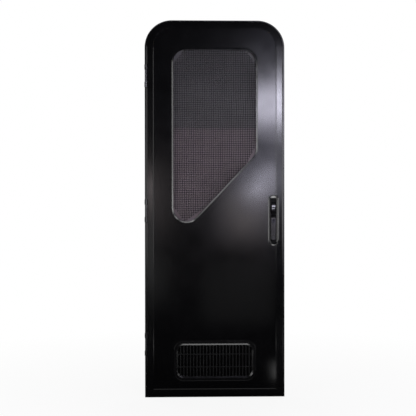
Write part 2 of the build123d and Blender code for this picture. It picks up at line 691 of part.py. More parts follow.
def hinge_leaf_half():
    """Middle knuckle with an arm that folds round the notch and runs behind the lip."""
    wall = NOTCH_INSET - HALF_WIDTH
    length = HINGE_LENGTH - 2 * KNUCKLE_LENGTH - 2 * KNUCKLE_GAP
    reach = half_limits(0, length)
    strap_back = LIP_BACK_Y + HINGE_PLATE
    arm = block((HINGE_X, wall), half_limits(HINGE_Y, 2 * HINGE_PLATE), reach)
    arm += block((wall - HINGE_PLATE, wall), (HINGE_Y, strap_back), reach)
    arm += block((wall - HINGE_PLATE, wall + STRAP_LENGTH - HINGE_PLATE), (LIP_BACK_Y, strap_back), reach)
    arm += hinge_prism(pin_outline(MIDDLE_RADIUS), length)
    return arm - hinge_prism(bore_outline(PIN_RADIUS), length)


def hinge_pin():
    return hinge_prism(pin_outline(PIN_RADIUS), HINGE_LENGTH)


def inner_handle_plate():
    outline = Pos(HANDLE_X, LOCK_Z) * SlotOverall(HANDLE_PLATE_LENGTH, HANDLE_PLATE_WIDTH, rotation=90)
    plate = slab(outline, LEAF_BACK_Y, HANDLE_FACE_Y)
    return chamfer(back_face(plate).edges(), HANDLE_PLATE_BEVEL)


def inner_handle_lever():
    """Tapered lever on a round neck."""
    hub = Circle(LEVER_HUB_RADIUS)
    tip = Pos(-LEVER_REACH, 0) * Circle(LEVER_TIP_RADIUS)
    outline = Pos(HANDLE_X, LOCK_Z + LEVER_HEIGHT) * make_hull(hub.edges() + tip.edges())
    front = HANDLE_FACE_Y + LEVER_STANDOFF
    lever = slab(outline, front, front + LEVER_THICK)
    lever = chamfer(back_face(lever).edges(), LEVER_BEVEL)
    neck = Pos(HANDLE_X, LOCK_Z + LEVER_HEIGHT) * Circle(LEVER_NECK_RADIUS)
    return lever + slab(neck, HANDLE_FACE_Y, front)


def inner_snib():
    """Thumb turn below the lever."""
    place = Pos(HANDLE_X, LOCK_Z + SNIB_HEIGHT)
    rose = slab(place * Circle(SNIB_RADIUS), HANDLE_FACE_Y, HANDLE_FACE_Y + SNIB_STAND)
    grip = place * Rectangle(SNIB_GRIP_WIDTH, 2 * SNIB_RADIUS - SNIB_GRIP_WIDTH)
    return rose + slab(grip, HANDLE_FACE_Y, HANDLE_FACE_Y + SNIB_STAND + SNIB_GRIP_STAND)


def all_pieces():
    """Every piece by its name."""
    pieces = {**jamb(), **leaf_frame(), **core_blocks()}
    pieces["door_seal"] = door_seal()
    pieces["keeper_plates"] = keeper_plates()
    pieces["outer_skin"] = outer_skin()
    pieces["inner_skin"] = skin(LEAF_BACK_Y - SKIN_THICK, LEAF_BACK_Y)
    pieces["window_bezel"] = window_bezel()
    pieces["window_mesh"] = window_mesh()
    pieces["window_pane"] = slab(window(LINER_INSET), PANE_Y, PANE_Y + PANE_THICK)
    pieces["window_inner_trim"] = window_inner_trim()
    pieces["vent_bezel"] = vent_bezel()
    pieces["vent_grille"] = vent_grille()
    pieces["vent_fly_mesh"] = vent_fly_mesh()
    pieces["vent_inner_cover"] = vent_inner_cover()
    pieces["lock_escutcheon"] = lock_escutcheon()
    pieces["lock_paddle"] = lock_paddle()
    pieces["paddle_pin"] = paddle_pin()
    pieces["key_barrel"] = key_barrel()
    pieces["latch_plates"] = latch_plates()
    pieces["latch_bolts"] = latch_bolts()
    pieces["inner_handle_plate"] = inner_handle_plate()
    pieces["inner_handle_lever"] = inner_handle_lever()
    pieces["inner_snib"] = inner_snib()
    pieces["hinge_jamb_halves"] = at_heights(hinge_jamb_half(), HINGE_HEIGHTS)
    pieces["hinge_leaf_halves"] = at_heights(hinge_leaf_half(), HINGE_HEIGHTS)
    pieces["hinge_pins"] = at_heights(hinge_pin(), HINGE_HEIGHTS)
    return pieces


os.makedirs("parts", exist_ok=True)
for name, piece in all_pieces().items():
    export_step(piece, f"parts/{name}.step")
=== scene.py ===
# %% [markdown]
# # A caravan entry door
# The door is black all over, so its looks come from three things: how glossy each piece is, where its
# edges turn towards the light, and what its flat faces mirror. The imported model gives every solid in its
# place, in metres, with the outside of the door towards -Y. This lesson dresses the solids, weaves the
# window's mesh, lines the vent, sets the screws, and builds a studio round the door.

# %% Load the frame
import json
import math
import bpy
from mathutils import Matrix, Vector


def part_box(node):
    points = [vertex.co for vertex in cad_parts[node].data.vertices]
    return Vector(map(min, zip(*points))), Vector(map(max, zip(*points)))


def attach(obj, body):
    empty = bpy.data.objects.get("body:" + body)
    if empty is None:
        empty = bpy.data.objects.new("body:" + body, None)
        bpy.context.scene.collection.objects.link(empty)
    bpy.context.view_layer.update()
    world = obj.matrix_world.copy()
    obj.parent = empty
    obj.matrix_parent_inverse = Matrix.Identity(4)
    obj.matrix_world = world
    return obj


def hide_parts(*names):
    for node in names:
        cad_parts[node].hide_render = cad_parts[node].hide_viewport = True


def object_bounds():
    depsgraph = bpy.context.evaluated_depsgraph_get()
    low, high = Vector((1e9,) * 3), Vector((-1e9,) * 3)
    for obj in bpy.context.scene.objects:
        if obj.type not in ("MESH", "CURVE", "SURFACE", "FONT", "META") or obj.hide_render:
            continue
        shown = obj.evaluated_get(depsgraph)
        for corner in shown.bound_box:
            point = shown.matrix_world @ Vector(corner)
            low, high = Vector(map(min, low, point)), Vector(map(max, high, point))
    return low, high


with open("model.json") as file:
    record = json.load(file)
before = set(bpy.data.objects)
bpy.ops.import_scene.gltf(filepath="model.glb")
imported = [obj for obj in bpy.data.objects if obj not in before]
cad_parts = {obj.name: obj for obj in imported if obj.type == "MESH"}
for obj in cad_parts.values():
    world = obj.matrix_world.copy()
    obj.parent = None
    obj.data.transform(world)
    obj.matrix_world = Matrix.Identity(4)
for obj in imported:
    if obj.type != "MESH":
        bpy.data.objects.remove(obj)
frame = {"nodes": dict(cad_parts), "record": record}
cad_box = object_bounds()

print("nodes", len(frame["nodes"]), "box", [[round(v, 4) for v in corner] for corner in cad_box])

# %% [markdown]
# Two helpers serve the whole file. Colours are written as the hex values that an eye sees on a screen,
# and Blender shades in linear light, so one function turns the first into the second. The other adds a
# node to any tree, sets its properties, and feeds its inputs from plain values or from other sockets.

# %% Helpers for colour and nodes
def linear(hex_colour):
    """An sRGB hex colour as linear red, green, blue and alpha."""
    channels = [int(hex_colour[i:i + 2], 16) / 255 for i in (1, 3, 5)]
    return [c / 12.92 if c <= 0.04045 else ((c + 0.055) / 1.055) ** 2.4 for c in channels] + [1.0]


def add(tree, kind, feeds=None, **settings):
    """One node of a tree, with its settings, and its inputs fed by values or sockets."""
    node = tree.nodes.new(kind)
    for key, value in settings.items():
        setattr(node, key, value)
    for name, source in (feeds or {}).items():
        if isinstance(source, bpy.types.NodeSocket):
            tree.links.new(source, node.inputs[name])
        else:
            node.inputs[name].default_value = source
    return node


print("a dark grey reads as", [round(v, 4) for v in linear("#17171a")])

# %% [markdown]
# Every finish starts the same way: an empty material whose patterns read Object coordinates. All pieces
# sit at the origin, so these coordinates are metres on the real door, and a pattern's scale follows from
# its real size in millimetres.

# %% Start of a material
MM = 0.001


def new_material(name):
    """An empty material: itself, its tree, its output and its place on the object."""
    material = bpy.data.materials.new(name)
    material.use_nodes = True
    tree = material.node_tree
    tree.nodes.clear()
    output = add(tree, "ShaderNodeOutputMaterial")
    place = add(tree, "ShaderNodeTexCoord").outputs["Object"]
    return material, tree, output.inputs["Surface"], place


def per_metre(size_mm):
    """Texture scale that makes one feature as large as a size in millimetres."""
    return 1 / (size_mm * MM)


print("a pattern of 5 mm has the scale", per_metre(5))

# %% [markdown]
# ## Sprayed coats
# The jamb, the leaf's frame, the hinges and the handles are metal under powder coat. Dry powder is
# blown on and melted in an oven, so it flows into tiny swells called orange peel. A painted sheet has
# the same swells, only wider. Both are one recipe: a black base, a noise that lifts the surface by one
# to three hundredths of a millimetre, and a slower noise that makes the gloss a little uneven.

# %% Recipe for a sprayed coat
NOISE_LOW, NOISE_HIGH = 0.3, 0.7  # nearly all values of a noise texture lie between these
DRIFT_MM = 90


def sprayed_coat(name, hex_colour, roughness, swell_mm, lift_mm, spread=0.05):
    """Black coat with swells of a given width and lift, and a gloss that drifts by the spread."""
    material, tree, surface, place = new_material(name)
    peel = add(tree, "ShaderNodeTexNoise", {"Vector": place, "Scale": per_metre(swell_mm), "Detail": 2.0})
    drift = add(tree, "ShaderNodeTexNoise", {"Vector": place, "Scale": per_metre(DRIFT_MM), "Detail": 3.0})
    gloss = add(tree, "ShaderNodeMapRange", {
        "Value": drift.outputs[0], "From Min": NOISE_LOW, "From Max": NOISE_HIGH,
        "To Min": roughness - spread, "To Max": roughness + spread})
    swells = add(tree, "ShaderNodeBump", {
        "Height": peel.outputs[0], "Strength": 1.0, "Distance": lift_mm * MM})
    coat = add(tree, "ShaderNodeBsdfPrincipled", {
        "Base Color": linear(hex_colour), "IOR": 1.5,
        "Roughness": gloss.outputs[0], "Normal": swells.outputs[0]})
    tree.links.new(coat.outputs[0], surface)
    return material


print("coats drift over", DRIFT_MM, "mm")

# %% [markdown]
# The outer skin and the leaf's frame are the glossiest large faces, so they mirror the lamps most
# sharply. The jamb and the handles are satin. The inner skin has the dullest paint.

# %% Coats of the jamb, the leaf, the hinges and the handles
jamb_coat = sprayed_coat("black_powder_coat_on_jamb", "#0a0a0c",
                         roughness=0.30, swell_mm=5, lift_mm=0.015)
frame_coat = sprayed_coat("black_powder_coat_on_frame", "#040405",
                          roughness=0.19, swell_mm=5, lift_mm=0.008, spread=0.02)
skin_paint = sprayed_coat("black_gloss_paint_on_skin", "#030304",
                          roughness=0.17, swell_mm=14, lift_mm=0.012, spread=0.02)
inner_paint = sprayed_coat("black_satin_paint_inside", "#242428",
                           roughness=0.38, swell_mm=6, lift_mm=0.03)
hinge_coat = sprayed_coat("black_powder_coat_on_hinges", "#0c0c0e",
                          roughness=0.16, swell_mm=4, lift_mm=0.008)
handle_coat = sprayed_coat("black_satin_coat_on_handles", "#1a1a1d",
                           roughness=0.30, swell_mm=4, lift_mm=0.02)
paddle_coat = sprayed_coat("black_gloss_coat_on_paddle", "#0a0a0c",
                           roughness=0.12, swell_mm=6, lift_mm=0.01, spread=0.02)
print("coats", [m.name for m in bpy.data.materials if "_coat_" in m.name or "_paint_" in m.name])

# %% [markdown]
# ## Moulded plastic
# The window rim, the vent and the lock are injection-moulded ABS. The steel mould is spark-eroded, and
# its grain comes off on the plastic as fine pits. A Voronoi texture gives pits of one size. The real
# ones are about 0.3 mm wide, which no pixel here can show, so they are drawn at 3 mm. Only the part of
# a mould that makes the show face is polished, so the plastic turns matt behind that face: its depth
# raises the roughness, and the deep walls of the vent and the lock stay dark.

# %% Recipe for moulded plastic
SHOW_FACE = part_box("outer_skin")[0][1]
MATT_DEPTH = 6 * MM
MATT_ROUGHNESS = 0.85
PIT_MM = 3
FLOW_MM = 40
FLOW_SPREAD = 0.03


def moulded(name, hex_colour, roughness, pit_lift_mm, polish, face=SHOW_FACE):
    """ABS with the grain of a spark-eroded mould, polished on its show face and matt behind it."""
    material, tree, surface, place = new_material(name)
    depth = add(tree, "ShaderNodeSeparateXYZ", {0: place}).outputs["Y"]
    matt = add(tree, "ShaderNodeMapRange", {
        "Value": depth, "From Min": face, "From Max": face + MATT_DEPTH,
        "To Min": 0.0, "To Max": MATT_ROUGHNESS})
    pits = add(tree, "ShaderNodeTexVoronoi", {"Vector": place, "Scale": per_metre(PIT_MM)})
    flow = add(tree, "ShaderNodeTexNoise", {"Vector": place, "Scale": per_metre(FLOW_MM), "Detail": 2.0})
    gloss = add(tree, "ShaderNodeMapRange", {
        "Value": flow.outputs[0], "From Min": NOISE_LOW, "From Max": NOISE_HIGH,
        "To Min": roughness - FLOW_SPREAD, "To Max": roughness + FLOW_SPREAD})
    gloss = add(tree, "ShaderNodeMath", {0: gloss.outputs[0], 1: matt.outputs[0]}, operation="MAXIMUM")
    grain = add(tree, "ShaderNodeBump", {
        "Height": pits.outputs["Distance"], "Strength": 1.0, "Distance": pit_lift_mm * MM})
    plastic = add(tree, "ShaderNodeBsdfPrincipled", {
        "Base Color": linear(hex_colour), "IOR": 1.53, "Specular IOR Level": polish,
        "Roughness": gloss.outputs[0], "Normal": grain.outputs[0]})
    tree.links.new(plastic.outputs[0], surface)
    return material


print("plastic is polished at y", round(SHOW_FACE, 4), "and matt", MATT_DEPTH / MM, "mm behind it")

# %% [markdown]
# The rim and the grille are set to mirror more than plain ABS does, because their edges shine that much
# in the photograph. The grille stands deeper than the leaf's face, so its own front counts as its show
# face.

# %% Plastics of the window rim, the vent and the lock
GRILLE_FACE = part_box("vent_grille")[0][1]
rim_plastic = moulded("moulded_abs_of_window_rim", "#0a0a0c",
                      roughness=0.22, pit_lift_mm=0.008, polish=0.95)
vent_plastic = moulded("moulded_abs_of_vent", "#050506",
                       roughness=0.24, pit_lift_mm=0.012, polish=0.45)
bar_plastic = moulded("moulded_abs_of_grille", "#0c0c0d",
                      roughness=0.25, pit_lift_mm=0.012, polish=1.0, face=GRILLE_FACE)
lock_plastic = moulded("moulded_abs_of_lock", "#070708",
                       roughness=0.20, pit_lift_mm=0.006, polish=0.6)
print("plastics", rim_plastic.name, vent_plastic.name, bar_plastic.name, lock_plastic.name)

# %% [markdown]
# ## Metal that is left bare
# Three kinds of piece keep a metal face. The key barrel is turned and black-chromed. The hinge pins are
# drawn steel, blackened in hot oil, with lines along them, and the paddle's pin shares their finish. The
# latch plates, the keepers and their screws are zinc-plated steel, which is cloudy. A picture of scratches
# would need a map for each piece, so a noise makes the marks, stretched where the metal was drawn. A
# metal's colour is its mirror colour, and its IOR stays as it is.

# %% Turned, drawn and plated metal
MARK_SPREAD = 0.08
EVEN = (1, 1, 1)
DRAWN_UPWARDS = (1, 1, 0.05)


def bare_metal(name, hex_colour, roughness, stretch, cloud_mm, lift_mm=0.01):
    """Metal whose marks or clouds are a noise, stretched where the metal was drawn."""
    material, tree, surface, place = new_material(name)
    drawn = add(tree, "ShaderNodeMapping", {"Vector": place, "Scale": stretch}).outputs[0]
    marks = add(tree, "ShaderNodeTexNoise", {"Vector": drawn, "Scale": per_metre(cloud_mm), "Detail": 4.0})
    gloss = add(tree, "ShaderNodeMapRange", {
        "Value": marks.outputs[0], "From Min": NOISE_LOW, "From Max": NOISE_HIGH,
        "To Min": roughness - MARK_SPREAD, "To Max": roughness + MARK_SPREAD})
    lines = add(tree, "ShaderNodeBump", {"Height": marks.outputs[0], "Distance": lift_mm * MM})
    metal = add(tree, "ShaderNodeBsdfPrincipled", {
        "Base Color": linear(hex_colour), "Metallic": 1.0,
        "Roughness": gloss.outputs[0], "Normal": lines.outputs[0]})
    tree.links.new(metal.outputs[0], surface)
    return material


key_chrome = bare_metal("black_chrome_on_key_barrel", "#303034", roughness=0.22, stretch=EVEN, cloud_mm=3)
pin_steel = bare_metal("blackened_steel_of_pins", "#2c2c2e",
                       roughness=0.3, stretch=DRAWN_UPWARDS, cloud_mm=1.5)
plated_steel = bare_metal("zinc_plated_steel", "#a5a6a8", roughness=0.34, stretch=EVEN, cloud_mm=9)
print("metals", key_chrome.name, pin_steel.name, plated_steel.name)

# %% [markdown]
# ## Smoked pane
# The pane is cast acrylic with smoke-grey dye. A clear shader would show the inside of the door through
# it. Little light gets through the real one, so a coloured body with some transmission is the better
# choice. Its front carries painted light: a ramp over its height makes the lower part warmer and lighter
# than the upper part, with a level edge between them. The mesh before it hides about two thirds of the
# light on its way in and out, which is why these painted colours are lighter than the window looks. A slow
# haze mixes a dark veil into them, as dust does.

# %% Painted light on the pane's front
HAZE_MM = 120
PAINTED_LIGHT_EDGE = 1.281
PAINTED_LIGHT_EDGE_BLUR = 4 * MM
PAINTED_LIGHT_TURN = 1.45
# Painted light: the front's colours, lighter and warmer at the foot than at the head.
FOOT_PAINTED_LIGHT, HEAD_PAINTED_LIGHT, VEIL = "#ab989f", "#5d5b5f", "#3f3c3f"
LEAST_VEIL, MOST_VEIL = 0.3, 0.7
PAINTED_LIGHT_BETWEEN = ((PAINTED_LIGHT_EDGE - PAINTED_LIGHT_EDGE_BLUR, "#af9ca4"), (PAINTED_LIGHT_EDGE + PAINTED_LIGHT_EDGE_BLUR, "#838083"),
                 (PAINTED_LIGHT_TURN, "#817e82"))
(_, pane_front, pane_foot), (_, pane_back, pane_head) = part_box("window_pane")
pane, tree, surface, place = new_material("smoked_cast_acrylic_with_painted_light")
spot = add(tree, "ShaderNodeSeparateXYZ", {0: place}).outputs
# The ramp over the pane's height paints the light: lighter and warmer towards the foot, with a level edge.
rise = add(tree, "ShaderNodeMapRange", {"Value": spot["Z"], "From Min": pane_foot, "From Max": pane_head})
ramp = add(tree, "ShaderNodeValToRGB", {0: rise.outputs[0]})
stops = ramp.color_ramp.elements
stops[0].color = linear(FOOT_PAINTED_LIGHT)
stops[1].color = linear(HEAD_PAINTED_LIGHT)
for height, tint in PAINTED_LIGHT_BETWEEN:
    stops.new((height - pane_foot) / (pane_head - pane_foot)).color = linear(tint)
haze = add(tree, "ShaderNodeTexNoise", {"Vector": place, "Scale": per_metre(HAZE_MM), "Detail": 2.0})
dust = add(tree, "ShaderNodeMapRange", {
    "Value": haze.outputs[0], "To Min": LEAST_VEIL, "To Max": MOST_VEIL})
front_painted_light_and_dust = add(tree, "ShaderNodeMix", {
    "Factor": dust.outputs[0], "A": ramp.outputs[0], "B": linear(VEIL)}, data_type="RGBA")
print("pane from", round(pane_foot, 3), "to", round(pane_head, 3), "m, painted light edge at", PAINTED_LIGHT_EDGE, "m")

# %% [markdown]
# The back of the pane is plain and wiped clean. A second sheet could carry that look, but one material
# can tell its front from its back by depth: through the sheet, the painted light on the front turns into
# even smoke, and the roughness falls to a quarter.

# %% Back of the pane, and its gloss
BACK_SMOKE = "#434247"
LEAST_SMEAR, MOST_SMEAR = 0.45, 0.6
BACK_ROUGHNESS_SHARE = 0.25
behind = add(tree, "ShaderNodeMapRange", {
    "Value": spot["Y"], "From Min": pane_front, "From Max": pane_back})
smoke = add(tree, "ShaderNodeMix", {
    "Factor": behind.outputs[0], "A": front_painted_light_and_dust.outputs["Result"],
    "B": linear(BACK_SMOKE)}, data_type="RGBA")
smear = add(tree, "ShaderNodeMapRange", {
    "Value": haze.outputs[0], "To Min": LEAST_SMEAR, "To Max": MOST_SMEAR})
wiped = add(tree, "ShaderNodeMapRange", {
    "Value": spot["Y"], "From Min": pane_front, "From Max": pane_back,
    "To Min": 1.0, "To Max": BACK_ROUGHNESS_SHARE})
gloss = add(tree, "ShaderNodeMath", {0: smear.outputs[0], 1: wiped.outputs[0]}, operation="MULTIPLY")
sheet = add(tree, "ShaderNodeBsdfPrincipled", {
    "Base Color": smoke.outputs["Result"], "IOR": 1.49,
    "Roughness": gloss.outputs[0], "Transmission Weight": 0.2})
tree.links.new(sheet.outputs[0], surface)
print("pane", pane.name, round((pane_back - pane_front) / MM, 1), "mm thick")

# %% [markdown]
# ## Seal and core
# The seal is extruded rubber: matt, with a fine grain and a bloom that makes it duller in places. It is a
# plain finish, so one noise is enough for both: it lifts the grain and it moves the roughness.

# %% Rubber of the seal
RUBBER_GRAIN_MM = 2
RUBBER_GRAIN_LIFT = 0.05 * MM
LEAST_BLOOM, MOST_BLOOM = 0.62, 0.78
rubber, tree, surface, place = new_material("extruded_seal_rubber")
grain = add(tree, "ShaderNodeTexNoise", {"Vector": place, "Scale": per_metre(RUBBER_GRAIN_MM), "Detail": 3.0})
lift = add(tree, "ShaderNodeBump", {"Height": grain.outputs[0], "Distance": RUBBER_GRAIN_LIFT})
bloom = add(tree, "ShaderNodeMapRange", {
    "Value": grain.outputs[0], "To Min": LEAST_BLOOM, "To Max": MOST_BLOOM})
skin = add(tree, "ShaderNodeBsdfPrincipled", {
    "Base Color": linear("#161616"), "IOR": 1.52, "Roughness": bloom.outputs[0], "Normal": lift.outputs[0]})
tree.links.new(skin.outputs[0], surface)
print("rubber", rubber.name)

# %% [markdown]
# The core is foam cut with a hot wire, which opens its cells. A Voronoi texture has cells too, so it gives
# the dents and the shade of each one. Little of the foam shows once the vent has its duct.

# %% Foam of the core
CELL_MM = 3
CELL_DEPTH = 0.3 * MM
foam, tree, surface, place = new_material("hot_wire_cut_foam")
cells = add(tree, "ShaderNodeTexVoronoi", {"Vector": place, "Scale": per_metre(CELL_MM)}).outputs["Distance"]
shade = add(tree, "ShaderNodeMix", {
    "Factor": cells, "A": linear("#e6dcb8"), "B": linear("#d2c699")}, data_type="RGBA")
dents = add(tree, "ShaderNodeBump", {"Height": cells, "Distance": CELL_DEPTH})
cut = add(tree, "ShaderNodeBsdfPrincipled", {
    "Base Color": shade.outputs["Result"], "Roughness": 0.85, "Normal": dents.outputs[0]})
tree.links.new(cut.outputs[0], surface)
print("foam", foam.name)

# %% [markdown]
# ## Fly mesh of the vent
# Behind the vent's bars hangs a black cloth that keeps flies out. It lies deep in the dark, so bump is
# enough for its form: two waves at right angles stand for its threads, and they also paint shade, darker
# between the threads. Real threads are about 1.5 mm apart and are drawn at 4 mm so that they can show.

# %% Woven thread
THREAD_MM = 4
THREAD_LIFT = 0.3 * MM
WAVE_LENGTH = 2 * math.pi / 20  # one wave of the wave texture at scale 1
thread_scale = per_metre(THREAD_MM) * WAVE_LENGTH
thread, tree, surface, place = new_material("woven_black_thread")
warp = add(tree, "ShaderNodeTexWave", {"Vector": place, "Scale": thread_scale}, bands_direction="X")
weft = add(tree, "ShaderNodeTexWave", {"Vector": place, "Scale": thread_scale}, bands_direction="Z")
cross = add(tree, "ShaderNodeMath", {0: warp.outputs["Fac"], 1: weft.outputs["Fac"]}, operation="MAXIMUM")
weave = add(tree, "ShaderNodeBump", {"Height": cross.outputs[0], "Distance": THREAD_LIFT})
# Painted shade: the cloth is darker between its threads and lighter where they stand up.
shade = add(tree, "ShaderNodeMix", {
    "Factor": cross.outputs[0], "A": linear("#010101"), "B": linear("#040404")}, data_type="RGBA")
cloth = add(tree, "ShaderNodeBsdfPrincipled", {
    "Base Color": shade.outputs["Result"], "Roughness": 0.9,
    "Specular IOR Level": 0.05, "Normal": weave.outputs[0]})
tree.links.new(cloth.outputs[0], surface)
print("thread", thread.name, "every", THREAD_MM, "mm")

# %% [markdown]
# ## Dressing the solids
# Each solid names a slot of the record, so one table from slot to finish dresses them all. The solids'
# own meshes are left as they are. The grille shares the vent's slot, and then gets its own plastic.

# %% Finish for every slot
FINISH = {
    "jamb_coating": jamb_coat, "frame_coating": frame_coat, "skin_paint": skin_paint,
    "inner_skin_paint": inner_paint, "core_foam": foam, "seal_rubber": rubber, "rim_plastic": rim_plastic,
    "smoked_pane": pane, "vent_plastic": vent_plastic, "fly_mesh": thread, "lock_plastic": lock_plastic,
    "paddle_coating": paddle_coat, "key_metal": key_chrome, "pin_steel": pin_steel,
    "latch_steel": plated_steel, "hinge_coating": hinge_coat, "handle_coating": handle_coat,
}
for piece in frame["record"]["subparts"]:
    if piece["material_slot"] in FINISH:
        solid = frame["nodes"][piece["node"]]
        solid.data.materials.clear()
        solid.data.materials.append(FINISH[piece["material_slot"]])
frame["nodes"]["vent_grille"].data.materials[0] = bar_plastic

# %% [markdown]
# ## Woven window mesh
# The window has a mesh of coated wire at its front. Each wire dips over one wire and under the next, and
# none runs quite straight. A flat plate with a picture of a mesh would look dead from the side, so
# Geometry Nodes draw real wires. The solid has twelve straight ones, which tell where the mesh ends. The
# real wires are about 2.5 mm apart, finer than a pixel, so nine are drawn for each wire of the solid, and
# thicker to match. The coat on them is dull, with dust that makes it greyer in places.

# %% Coated wire
DUST_MM = 60
wire_coat, tree, surface, place = new_material("black_coated_wire")
dust = add(tree, "ShaderNodeTexNoise", {"Vector": place, "Scale": per_metre(DUST_MM), "Detail": 4.0})
tone = add(tree, "ShaderNodeMix", {
    "Factor": dust.outputs[0], "A": linear("#0a0a0c"), "B": linear("#161416")}, data_type="RGBA")
coat = add(tree, "ShaderNodeBsdfPrincipled", {
    "Base Color": tone.outputs["Result"], "IOR": 1.5, "Roughness": 0.6, "Specular IOR Level": 0.25})
tree.links.new(coat.outputs[0], surface)
print("wire", wire_coat.name)

# %% [markdown]
# The tree takes the solid and a few sizes by name. It first counts the wires: an even number each way,
# one pitch apart and centred in the mesh's box. Vector nodes count all ways at once.

# %% Tree that weaves the wires: inputs and counts
weave_tree = bpy.data.node_groups.new("woven_wire", "GeometryNodeTree")
for name, kind, way in (
        ("Solid", "NodeSocketGeometry", "INPUT"), ("Pitch", "NodeSocketFloat", "INPUT"),
        ("Wire radius", "NodeSocketFloat", "INPUT"), ("Dip", "NodeSocketFloat", "INPUT"),
        ("Slack", "NodeSocketFloat", "INPUT"), ("Slack scale", "NodeSocketFloat", "INPUT"),
        ("Wire", "NodeSocketMaterial", "INPUT"), ("Mesh", "NodeSocketGeometry", "OUTPUT")):
    weave_tree.interface.new_socket(name, in_out=way, socket_type=kind)
given = add(weave_tree, "NodeGroupInput").outputs
hull = add(weave_tree, "GeometryNodeConvexHull", {"Geometry": given["Solid"]}).outputs[0]
box = add(weave_tree, "GeometryNodeBoundBox", {"Geometry": hull}).outputs
HALF = (0.5, 0.5, 0.5)
both = add(weave_tree, "ShaderNodeVectorMath", {0: box["Min"], 1: box["Max"]}, operation="ADD").outputs[0]
centre = add(weave_tree, "ShaderNodeVectorMath", {0: both, 1: HALF}, operation="MULTIPLY").outputs[0]
sides = add(weave_tree, "ShaderNodeVectorMath", {
    0: box["Max"], 1: box["Min"]}, operation="SUBTRACT").outputs[0]
pairs = add(weave_tree, "ShaderNodeVectorMath", {0: sides, 1: given["Pitch"]}, operation="DIVIDE").outputs[0]
pairs = add(weave_tree, "ShaderNodeVectorMath", {
    0: pairs, 1: HALF, 2: HALF}, operation="MULTIPLY_ADD").outputs[0]
pairs = add(weave_tree, "ShaderNodeVectorMath", {0: pairs}, operation="FLOOR").outputs[0]
doubled = add(weave_tree, "ShaderNodeVectorMath", {0: pairs, 1: pairs}, operation="ADD").outputs[0]
reach = add(weave_tree, "ShaderNodeVectorMath", {0: pairs, 1: HALF}, operation="SUBTRACT").outputs[0]
reach = add(weave_tree, "ShaderNodeVectorMath", {
    0: reach, "Scale": given["Pitch"]}, operation="SCALE").outputs[0]
first_wires = add(weave_tree, "ShaderNodeVectorMath", {0: centre, 1: reach}, operation="SUBTRACT").outputs[0]
low = add(weave_tree, "ShaderNodeSeparateXYZ", {0: box["Min"]}).outputs
span = add(weave_tree, "ShaderNodeSeparateXYZ", {0: sides}).outputs
middle = add(weave_tree, "ShaderNodeSeparateXYZ", {0: centre}).outputs
count = add(weave_tree, "ShaderNodeSeparateXYZ", {0: doubled}).outputs
first = add(weave_tree, "ShaderNodeSeparateXYZ", {0: first_wires}).outputs
print("weave tree starts with", len(weave_tree.nodes), "nodes")

# %% [markdown]
# Each set of wires is a row of points with a straight line on every point. The lines are cut into short
# lengths. From each point a ray goes through the solid's hull, and points that miss it lie outside the
# mesh's edge and are dropped.

# %% Straight wires inside the mesh's edge
LENGTHS_PER_PITCH = 3.0
RAY_START = (0, -50 * MM, 0)
RAY_WAY = (0, 1, 0)
RAY_LENGTH = 200 * MM


def straight_wires(along, across):
    """Lines that run along one axis, side by side across the other, without what lies off the mesh."""
    corner = {across: first[across], along: low[along], "Y": middle["Y"]}
    start = add(weave_tree, "ShaderNodeCombineXYZ", corner).outputs[0]
    step = add(weave_tree, "ShaderNodeCombineXYZ", {across: given["Pitch"]}).outputs[0]
    row = add(weave_tree, "GeometryNodeMeshLine", {
        "Count": count[across], "Start Location": start, "Offset": step})
    end = add(weave_tree, "ShaderNodeCombineXYZ", {along: span[along]}).outputs[0]
    line = add(weave_tree, "GeometryNodeCurvePrimitiveLine", {"End": end})
    lines = add(weave_tree, "GeometryNodeInstanceOnPoints", {
        "Points": row.outputs[0], "Instance": line.outputs[0]})
    lines = add(weave_tree, "GeometryNodeRealizeInstances", {"Geometry": lines.outputs[0]})
    piece = add(weave_tree, "ShaderNodeMath", {0: given["Pitch"], 1: LENGTHS_PER_PITCH}, operation="DIVIDE")
    lines = add(weave_tree, "GeometryNodeResampleCurve", {
        "Curve": lines.outputs[0], "Length": piece.outputs[0]}, mode="LENGTH")
    where = add(weave_tree, "GeometryNodeInputPosition").outputs[0]
    before = add(weave_tree, "ShaderNodeVectorMath", {0: where, 1: RAY_START}, operation="ADD")
    ray = add(weave_tree, "GeometryNodeRaycast", {
        "Target Geometry": hull, "Source Position": before.outputs[0],
        "Ray Direction": RAY_WAY, "Ray Length": RAY_LENGTH})
    off = add(weave_tree, "FunctionNodeBooleanMath", {0: ray.outputs["Is Hit"]}, operation="NOT")
    kept = add(weave_tree, "GeometryNodeDeleteGeometry", {
        "Geometry": lines.outputs[0], "Selection": off.outputs[0]})
    return kept.outputs[0]


uprights = straight_wires("Z", "X")
levels = straight_wires("X", "Z")
print("two sets of straight wires,", len(weave_tree.nodes), "nodes")

# %% [markdown]
# A cosine of the place lifts and lowers each wire, once over and once under in two pitches. The second
# set has the opposite sign, so the wires pass over and under each other. A slow noise moves them aside,
# because a mesh that has been in use is slack and its rows wander.

# %% Wires that pass over and under
BOTH_WAYS = (1, 0, 1)


